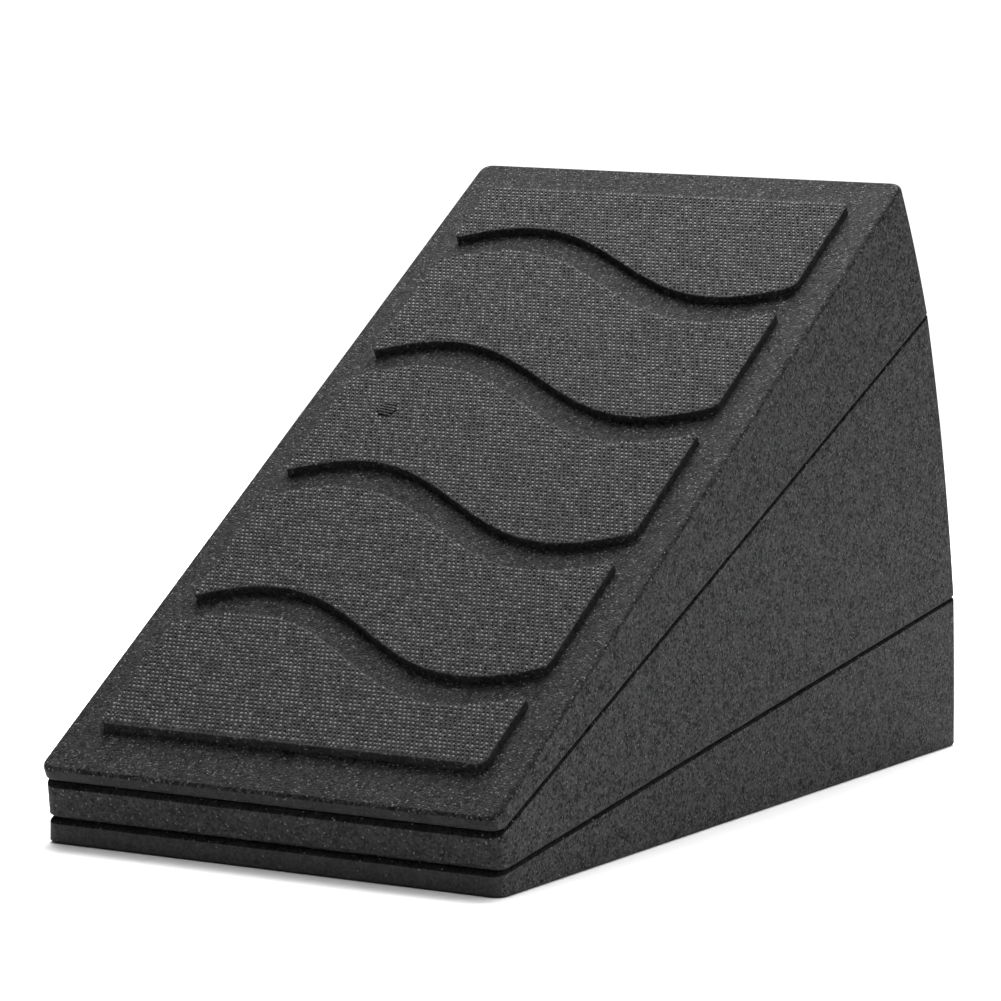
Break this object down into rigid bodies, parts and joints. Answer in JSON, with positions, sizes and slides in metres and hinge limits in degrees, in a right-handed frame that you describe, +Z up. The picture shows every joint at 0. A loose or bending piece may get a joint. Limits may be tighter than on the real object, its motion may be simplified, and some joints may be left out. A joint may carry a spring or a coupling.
{
  "type": "slant board",
  "caption": "Stacking wedges of moulded bead foam that lock together into a steep calf-stretch board, with raised wavy foot pads and a woven grip texture on the sloped face.",
  "frame": {"origin": "on the floor, under the middle of the stack's length and width", "axes": "+X across the board, +Y towards its high end, +Z up"},
  "size_m": [0.15, 0.3036, 0.1838],
  "materials": {
    "bead_foam": "matt moulded expanded polypropylene bead foam, dyed black, with a fine pebbled skin"
  },
  "bodies": {
    "base": {"base_wedge": "bead_foam"},
    "middle": {"middle_wedge": "bead_foam"},
    "top": {"top_wedge": "bead_foam"}
  },
  "joints": [
    {"name": "middle_lift", "type": "slide", "parent": "base", "child": "middle", "axis": [0, -0.1392, 0.9903], "range_m": [0, 0.1]},
    {"name": "top_lift", "type": "slide", "parent": "middle", "child": "top", "axis": [0, -0.4147, 0.91], "range_m": [0, 0.1]}
  ]
}
